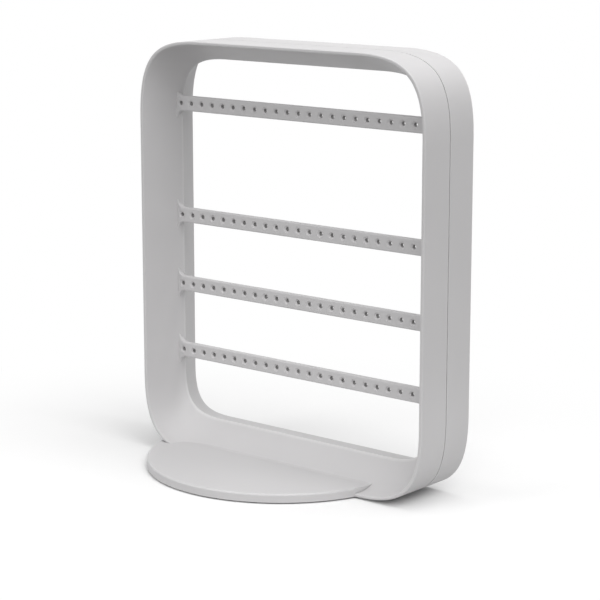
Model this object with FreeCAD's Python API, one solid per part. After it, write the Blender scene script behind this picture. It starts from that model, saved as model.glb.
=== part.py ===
import FreeCAD, Part
import math
import os

# Earring display stand: an upright rounded-rectangle loop, split at its seam into a
# front and a rear shell, with four drilled bars across it and a round foot in front.
# Millimetres, +Z up, the front faces -Y, X runs along the bars.

# Loop
width = 190.0
height = 225.0
depth = 40.0
corner_reach = 42.0
corner_pull = 0.755
front_lip = 1.7
rear_lip = 1.3
ridge_rise = 10.6
ridge_behind_middle = 2.2
seam_behind_middle = 0.5
lip_rounding = 0.6

# Floor of the loop
floor_ridge = 17.0
floor_rear = 13.2
floor_corner_reach = 26.0
floor_bend = 2.3
floor_sections = 5

# Shells
wall = 2.0
tongue_thickness = 1.2
tongue_length = 3.0
tongue_clearance = 0.1
groove_width = 0.8
groove_depth = 0.5
cavity_front_gap = 9.0

# Bars
lowest_bar_level = 53.6
second_bar_rise = 37.2
third_bar_rise = 38.1
top_bar_drop = 35.3
bar_height = 8.2
bar_thickness = 3.0
bar_rounding = 0.8
bar_flare = 4.0
bar_bite = 1.0
hole_count = 23
hole_pitch = 7.5
hole_diameter = 2.2
mouth_diameter = 4.0
mouth_depth = 0.7

# Foot
foot_radius = 72.7
foot_side_gap = 6.7
foot_centre_behind_middle = 4.0
foot_thickness = 4.6
foot_rounding = 1.0
foot_sweep_start = 9.0
foot_sweep_hold = 6.0

# Pads under the stand
pad_diameter = 10.0
pad_height = 1.6
pad_recess = 0.8
pad_clearance = 0.1
pad_edge_gap = 6.0
pad_angle = 40.0

# Places worked out from the sizes above
lift = pad_height - pad_recess
foot_front = foot_centre_behind_middle - foot_radius
middle_y = -(foot_front + depth / 2) / 2
front_y = middle_y - depth / 2
rear_y = middle_y + depth / 2
seam_y = middle_y + seam_behind_middle
ridge_y = middle_y + ridge_behind_middle
front_run = ridge_y - front_y
foot_centre_x = foot_side_gap + foot_radius - width / 2
second_bar_level = lowest_bar_level + second_bar_rise
third_bar_level = second_bar_level + third_bar_rise
bar_levels = [height - top_bar_drop, third_bar_level, second_bar_level, lowest_bar_level]
same_place = 1e-6


def vec(x, y, z):
    return FreeCAD.Vector(x, y, z)


def outline(y, inset, floor, floor_reach=None):
    """Rounded rectangle at depth y: the loop's outline moved in by inset, its lower side at floor."""
    half = width / 2 - inset
    top = lift + height - inset
    reach = max(corner_reach - inset, wall)
    low_reach = reach if floor_reach is None else floor_reach
    edges = []
    corners = [
        (half, top, reach, (0, -1), (-1, 0)),
        (-half, top, reach, (1, 0), (0, -1)),
        (-half, floor, low_reach, (0, 1), (1, 0)),
        (half, floor, low_reach, (-1, 0), (0, 1)),
    ]
    ends = []
    for x, z, r, back, ahead in corners:
        start = vec(x + back[0] * r, y, z + back[1] * r)
        end = vec(x + ahead[0] * r, y, z + ahead[1] * r)
        hold = 1 - corner_pull
        first = vec(x + back[0] * r * hold, y, z + back[1] * r * hold)
        last = vec(x + ahead[0] * r * hold, y, z + ahead[1] * r * hold)
        curve = Part.BezierCurve()
        curve.setPoles([start, first, last, end])
        ends.append((start, end, curve.toShape()))
    for i, (start, end, bend) in enumerate(ends):
        edges.append(bend)
        edges.append(Part.makeLine(end, ends[(i + 1) % len(ends)][0]))
    return Part.Wire(edges)


def block(inset, y0, y1):
    """Solid of the loop's outline, moved in by inset all round, from y0 to y1."""
    wire = outline(y0, inset, lift + inset)
    return Part.Face(wire).extrude(vec(0, y1 - y0, 0))


def opening_front(grow):
    """What the front shell leaves open: it narrows from the lip to the ridge, over a hollow floor."""
    wires = []
    for i in range(floor_sections):
        t = i / (floor_sections - 1)
        inset = front_lip + (ridge_rise - front_lip) * t - grow
        floor = lift + front_lip + (floor_ridge - front_lip) * t ** floor_bend - grow
        lip_reach = corner_reach - front_lip
        reach = lip_reach + (floor_corner_reach - lip_reach) * t
        wires.append(outline(front_y + front_run * t, inset, floor, reach))
    return Part.makeLoft(wires, True, False)


def opening_rear(grow):
    """What the rear shell leaves open: it widens from the ridge to the thin rear edge."""
    ridge = outline(ridge_y, ridge_rise - grow, lift + floor_ridge - grow, floor_corner_reach)
    rear = outline(rear_y, rear_lip - grow, lift + floor_rear - grow, floor_corner_reach)
    return Part.makeLoft([ridge, rear], True, True)


def round_face_edges(solid, y, radius):
    """Round every edge that lies in the plane at depth y."""
    rim = [e for e in solid.Edges
           if all(abs(v.Point.y - y) < same_place for v in e.Vertexes)
           and abs(e.valueAt((e.FirstParameter + e.LastParameter) / 2).y - y) < same_place]
    return solid.makeFillet(radius, rim)


def seam_groove():
    """Shallow groove that runs round the outside where the two shells meet."""
    y0 = seam_y - groove_width / 2
    outer = block(-groove_depth, y0, y0 + groove_width)
    return outer.cut(block(groove_depth, y0, y0 + groove_width))


def foot():
    """Round plate in front of the loop, whose top sweeps up to the ridge between the side walls."""
    centre = vec(foot_centre_x, middle_y + foot_centre_behind_middle, lift)
    plate = Part.makeCylinder(foot_radius, foot_thickness, centre)
    top_edges = [e for e in plate.Edges if e.Closed and e.BoundBox.ZMin > lift]
    plate = plate.makeFillet(foot_rounding, top_edges)
    ahead = Part.makeBox(2 * width, depth + 2 * foot_radius, height,
                         vec(-width, seam_y - depth - 2 * foot_radius, 0))
    plate = plate.common(ahead)

    top = lift + foot_thickness
    start_y = front_y + foot_sweep_start
    ridge_z = lift + floor_ridge
    slope = (floor_ridge - front_lip) * floor_bend / front_run
    hold = foot_sweep_hold / 2
    bend = Part.BezierCurve()
    bend.setPoles([vec(0, start_y, top), vec(0, start_y + foot_sweep_hold, top),
                   vec(0, ridge_y - hold, ridge_z - hold * slope), vec(0, ridge_y, ridge_z)])
    corners = [vec(0, ridge_y, ridge_z), vec(0, ridge_y, lift), vec(0, front_y, lift),
               vec(0, front_y, top), vec(0, start_y, top)]
    side = Part.Wire([bend.toShape()] + [Part.makeLine(a, b) for a, b in zip(corners, corners[1:])])
    sweep = Part.Face(side).extrude(vec(2 * width, 0, 0))
    sweep.translate(vec(-width, 0, 0))
    round_plan = Part.makeCylinder(foot_radius, height, centre)
    sweep = sweep.common(round_plan).common(block(wall, front_y + lip_rounding, ridge_y))
    return plate.fuse(sweep)


def bar(level):
    """Drilled bar across the loop, whose ends flare into the side walls."""
    slope = (ridge_rise - front_lip) / front_run
    wall_x = width / 2 - front_lip - slope * depth / 2
    end_x = wall_x + bar_bite
    half = bar_height / 2
    wide = half + bar_flare
    z = lift + level
    y = middle_y - bar_thickness / 2
    inner_x = wall_x - bar_flare
    bend = bar_flare * (1 - math.sqrt(0.5))

    def arc(side, up):
        return Part.Arc(vec(side * inner_x, y, z + up * half),
                        vec(side * (wall_x - bend), y, z + up * (half + bend)),
                        vec(side * wall_x, y, z + up * wide)).toShape()

    def line(x0, z0, x1, z1):
        return Part.makeLine(vec(x0, y, z + z0), vec(x1, y, z + z1))

    edges = [line(-inner_x, half, inner_x, half), arc(1, 1), line(wall_x, wide, end_x, wide),
             line(end_x, wide, end_x, -wide), line(end_x, -wide, wall_x, -wide), arc(1, -1),
             line(inner_x, -half, -inner_x, -half), arc(-1, -1), line(-wall_x, -wide, -end_x, -wide),
             line(-end_x, -wide, -end_x, wide), line(-end_x, wide, -wall_x, wide), arc(-1, 1)]
    strip = Part.Face(Part.Wire(Part.__sortEdges__(edges))).extrude(vec(0, bar_thickness, 0))
    long_edges = [e for e in strip.Edges
                  if e.BoundBox.YLength < same_place
                  and max(abs(v.X) for v in e.Vertexes) < wall_x + same_place]
    strip = strip.makeFillet(bar_rounding, long_edges)

    holes = []
    for i in range(hole_count):
        x = (i - (hole_count - 1) / 2) * hole_pitch
        start = vec(x, y, z)
        back = vec(0, 1, 0)
        holes.append(Part.makeCylinder(hole_diameter / 2, bar_thickness, start, back))
        holes.append(Part.makeCone(mouth_diameter / 2, hole_diameter / 2, mouth_depth, start, back))
    return strip.cut(holes)


def pad_places():
    """Centres of the pads: two under the foot, two under the rear shell."""
    ring = foot_radius - pad_edge_gap - pad_diameter / 2
    turn = math.radians(pad_angle)
    foot_y = middle_y + foot_centre_behind_middle
    back_y = rear_y - pad_edge_gap - pad_diameter / 2
    side_x = width / 2 - corner_reach
    front = [(foot_centre_x + side * ring * math.sin(turn), foot_y - ring * math.cos(turn))
             for side in (-1, 1)]
    return front, [(-side_x, back_y), (side_x, back_y)]


def pad_recesses(places):
    return [Part.makeCylinder(pad_diameter / 2 + pad_clearance, pad_recess, vec(x, y, lift))
            for x, y in places]


def front_frame():
    """Front half of the loop with its foot and bars, one moulding."""
    outer = block(0, front_y, seam_y)
    inner_wall = block(wall + tongue_thickness, seam_y - wall, ridge_y)
    shell = outer.fuse(inner_wall).cut(opening_front(0))
    shell = round_face_edges(shell, front_y, lip_rounding)
    shell = shell.fuse(foot())
    cavity = block(wall, front_y + cavity_front_gap, ridge_y + wall).cut(opening_front(wall))
    shell = shell.cut(cavity).cut(seam_groove())
    shell = shell.cut(pad_recesses(pad_places()[0]))
    return shell.fuse([bar(level) for level in bar_levels]).removeSplitter()


def rear_frame():
    """Rear half of the loop, with the tongue that slides into the front half."""
    outer = block(0, seam_y, rear_y)
    inner = block(wall, seam_y, ridge_y)
    shell = outer.cut(inner).cut(opening_rear(0))
    cavity = block(wall, seam_y, rear_y - wall).cut(opening_rear(wall))
    shell = shell.cut(cavity).cut(seam_groove())
    inset = wall + tongue_clearance
    tongue = block(inset, seam_y - tongue_length, seam_y)
    tongue = tongue.fuse(block(wall / 2, seam_y, seam_y + tongue_length))
    tongue = tongue.cut(block(inset + tongue_thickness, seam_y - tongue_length, seam_y + tongue_length))
    return shell.fuse(tongue).cut(pad_recesses(pad_places()[1])).removeSplitter()


def export(name, solid):
    print(name, solid.isValid(), len(solid.Solids), round(solid.Volume / 1000, 2), "cm3")
    solid.exportStep("parts/" + name + ".step")


os.makedirs("parts", exist_ok=True)
export("front_frame", front_frame())
export("rear_frame", rear_frame())
front_pads, rear_pads = pad_places()
for number, (x, y) in enumerate(front_pads + rear_pads, 1):
    pad = Part.makeCylinder(pad_diameter / 2, pad_height, vec(x, y, 0))
    export("pad_" + str(number), pad)
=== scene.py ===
import math
import bpy
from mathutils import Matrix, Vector

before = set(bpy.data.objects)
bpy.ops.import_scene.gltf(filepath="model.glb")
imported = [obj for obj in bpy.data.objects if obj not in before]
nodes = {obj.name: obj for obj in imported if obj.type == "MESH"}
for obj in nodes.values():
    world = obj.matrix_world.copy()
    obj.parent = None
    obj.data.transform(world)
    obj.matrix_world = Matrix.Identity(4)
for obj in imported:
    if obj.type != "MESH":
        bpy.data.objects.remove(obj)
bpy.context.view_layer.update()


# Front and rear shells
# The stand is two moulded halves of one pale grey plastic, joined at the seam round the
# outside. The mould gave them a very fine matte grain and a little uneven sheen. A painted
# highlight makes their edges paler, and painted shade darkens the holes, the groove and the
# corners.

class Wire:
    """An output socket of a shader node, with arithmetic."""

    def __init__(self, tree, socket):
        self.tree = tree
        self.socket = socket

    def node(self, kind, inputs=None, output=0, **settings):
        """Adds any node to the same tree and returns one of its outputs."""
        made = self.tree.nodes.new(kind)
        for name, value in settings.items():
            setattr(made, name, value)
        for name, value in (inputs or {}).items():
            if isinstance(value, Wire):
                self.tree.links.new(value.socket, made.inputs[name])
            else:
                made.inputs[name].default_value = value
        return Wire(self.tree, made.outputs[output])

    def maths(self, operation, a, b):
        return self.node("ShaderNodeMath", {0: a, 1: b}, operation=operation)

    def __add__(self, other):
        return self.maths("ADD", self, other)

    def __radd__(self, other):
        return self.maths("ADD", other, self)

    def __sub__(self, other):
        return self.maths("SUBTRACT", self, other)

    def __rsub__(self, other):
        return self.maths("SUBTRACT", other, self)

    def __mul__(self, other):
        return self.maths("MULTIPLY", self, other)

    def __rmul__(self, other):
        return self.maths("MULTIPLY", other, self)

    def noise(self, scale, detail, roughness=0.55):
        """Noise from 0 to 1 over this position, with features about 1/scale metres across."""
        return self.node("ShaderNodeTexNoise", {"Vector": self, "Scale": scale, "Detail": detail,
                                                "Roughness": roughness})

    def mix_colours(self, factor, first, second):
        return self.node("ShaderNodeMix", {0: factor, 6: first, 7: second}, output=2,
                         data_type="RGBA")

    def open_share(self, reach, inside=False):
        """Share of the rays that meet none of the piece within reach, outside or inside it."""
        return self.node("ShaderNodeAmbientOcclusion", {"Distance": reach}, output=1,
                         samples=12, inside=inside, only_local=True)

    def bump(self, height, strength, depth):
        return self.node("ShaderNodeBump", {"Height": height, "Strength": strength,
                                            "Distance": depth})


def new_material(name):
    """An empty material with its Principled shader, and the position that its textures use."""
    material = bpy.data.materials.new(name)
    material.use_nodes = True
    shader = material.node_tree.nodes["Principled BSDF"]
    place = material.node_tree.nodes.new("ShaderNodeTexCoord")
    return material, shader, Wire(material.node_tree, place.outputs["Object"])


def feed(shader, name, wire):
    wire.tree.links.new(wire.socket, shader.inputs[name])


def dress(material, names):
    """Gives the named CAD nodes this material."""
    for name in names:
        for material_slot in nodes[name].material_slots:
            material_slot.material = material


shell_pale = (0.656, 0.646, 0.651, 1)
shell_deep = (0.611, 0.602, 0.607, 1)
flow_scale = 22
handling_scale = 90
grain_scale = 2600
grain_depth = 0.00008
# Paler colour and reach of the painted highlight along convex edges.
highlight_colour = (0.80, 0.795, 0.795, 1)
highlight_reach = 0.001
# Dark colour, reach and threshold of the painted shade in hollows.
painted_shade_colour = (0.17, 0.165, 0.16, 1)
shade_reach = 0.0027
shade_starts_below = 0.75

shell_plastic, shell_shader, place = new_material("shell_plastic")
flow = place.noise(flow_scale, detail=4)
grain = place.noise(grain_scale, detail=2, roughness=0.6)
handling = place.noise(handling_scale, detail=5, roughness=0.65)

clean_shell = place.mix_colours(flow, shell_deep, shell_pale)
# Painted highlight: convex edges, where the inside occlusion meets the piece within a short reach,
# are painted paler.
edge_highlight_mask = (1.0 - place.open_share(highlight_reach, inside=True)) * (0.3 + 0.6 * handling)
shell_with_highlight = place.mix_colours(edge_highlight_mask, clean_shell, highlight_colour)
# Painted shade: the holes, the seam groove and the inner corners, where little open space lies
# around, are painted darker.
painted_shade_mask = (shade_starts_below - place.open_share(shade_reach)) * (1.1 + 0.6 * handling)
feed(shell_shader, "Base Color", place.mix_colours(painted_shade_mask, shell_with_highlight, painted_shade_colour))
feed(shell_shader, "Roughness", 0.40 + 0.14 * handling + 0.06 * grain)
feed(shell_shader, "Normal", place.bump(grain + 0.4 * handling, 0.12, grain_depth))
shell_shader.inputs["Specular IOR Level"].default_value = 0.45
dress(shell_plastic, ["front_frame", "rear_frame"])


# Pads
# Four dark grey rubber pads are glued in shallow recesses underneath, so that the stand
# does not slip. Their skin is dull and slightly dusty.

rubber_clean = (0.045, 0.045, 0.047, 1)
rubber_dusty = (0.085, 0.085, 0.088, 1)
rubber_scale = 700
rubber_depth = 0.0001

pad_rubber, pad_shader, place = new_material("pad_rubber")
specks = place.noise(rubber_scale, detail=5)
feed(pad_shader, "Base Color", place.mix_colours(specks, rubber_clean, rubber_dusty))
feed(pad_shader, "Roughness", 0.72 + 0.2 * specks)
feed(pad_shader, "Normal", place.bump(specks, 0.3, rubber_depth))
dress(pad_rubber, ["pad_" + str(number) for number in range(1, 5)])


# Floor
# A plain white table top that fades into the white room. It answers to the rays that
# light the stand as a pale grey close by and a dark one further out, as a small studio
# table does, and it keeps the stand's shadow.

def seen_ray(wire):
    """1 for the camera's and glossy rays, 0 for the rays that light the stand."""
    return (wire.node("ShaderNodeLightPath", output="Is Camera Ray")
            + wire.node("ShaderNodeLightPath", output="Is Glossy Ray"))


def smooth_ramp(value, start, end):
    """0 up to start and 1 from end on, with a soft passage between them."""
    return value.node("ShaderNodeMapRange", {0: value, 1: start, 2: end, 3: 0.0, 4: 1.0},
                      interpolation_type="SMOOTHSTEP")


table_edge = 3.0
floor_colour = (0.98, 0.98, 0.98, 1)
casts_back_near = (0.60, 0.60, 0.60, 1)
casts_back_far = (0.05, 0.05, 0.05, 1)
near_ends = 0.1
far_starts = 0.4
fade_starts = 0.08
fade_ends = 0.30

floor_mesh = bpy.data.meshes.new("floor")
floor_mesh.from_pydata([(-table_edge, -table_edge, 0), (table_edge, -table_edge, 0),
                        (table_edge, table_edge, 0), (-table_edge, table_edge, 0)],
                       [], [(0, 1, 2, 3)])
floor = bpy.data.objects.new("floor", floor_mesh)
bpy.context.collection.objects.link(floor)

floor_white, floor_shader, place = new_material("floor_white")
seen = seen_ray(place)
distance = place.node("ShaderNodeVectorMath", {0: place}, output=1, operation="LENGTH")
casts_back = place.mix_colours(smooth_ramp(distance, near_ends, far_starts),
                               casts_back_near, casts_back_far)
feed(floor_shader, "Base Color", place.mix_colours(seen, casts_back, floor_colour))
floor_shader.inputs["Roughness"].default_value = 1.0
floor_shader.inputs["Specular IOR Level"].default_value = 0.0
table = Wire(place.tree, floor_shader.outputs[0])
room = place.node("ShaderNodeEmission", {"Color": (1, 1, 1, 1), "Strength": 1.0})
faded = place.node("ShaderNodeMixShader", {0: smooth_ramp(distance, fade_starts, fade_ends) * seen,
                                           1: table, 2: room})
feed(place.tree.nodes["Material Output"], "Surface", faded)
floor_mesh.materials.append(floor_white)


# Studio light
# A soft box hangs over the stand and a second one stands high on its right. Two weaker
# ones shine past the camera from either side, and an even pale room fills the rest.

stand_middle = Vector((0, 0, 0.1))
room_level = 0.41


def soft_box(name, place, size, power):
    data = bpy.data.lights.new(name, "AREA")
    data.shape = "SQUARE"
    data.size = size
    data.energy = power
    lamp = bpy.data.objects.new(name, data)
    lamp.location = place
    lamp.rotation_euler = (stand_middle - Vector(place)).to_track_quat("-Z", "Y").to_euler()
    bpy.context.collection.objects.link(lamp)


soft_box("top_box", (0.1, 0.0, 1.9), size=1.2, power=10.3)
soft_box("right_box", (1.3, -0.2, 1.5), size=1.2, power=15)
soft_box("shoulder_box", (1.3, -1.5, 1.2), size=1.0, power=8)
soft_box("front_box", (-0.9, -1.7, 0.9), size=1.0, power=8)

world = bpy.data.worlds.new("room")
bpy.context.scene.world = world
world.use_nodes = True
background = world.node_tree.nodes["Background"]
background.inputs["Color"].default_value = (1, 1, 1, 1)
sky = Wire(world.node_tree, background.outputs[0])
feed(background, "Strength", room_level + (1.0 - room_level) * seen_ray(sky))


# Camera
# It stands to the right of the stand and a little above it, as in the photograph.

camera_place = (0.6558, -0.7568, 0.3041)
camera_turn = 40
camera_tilt = 11.706

camera_data = bpy.data.cameras.new("camera")
camera_data.lens = 119.4
camera = bpy.data.objects.new("camera", camera_data)
camera.location = camera_place
camera.rotation_euler = (math.radians(90 - camera_tilt), 0, math.radians(camera_turn))
bpy.context.collection.objects.link(camera)
bpy.context.scene.camera = camera
bpy.context.scene.view_settings.view_transform = "Standard"
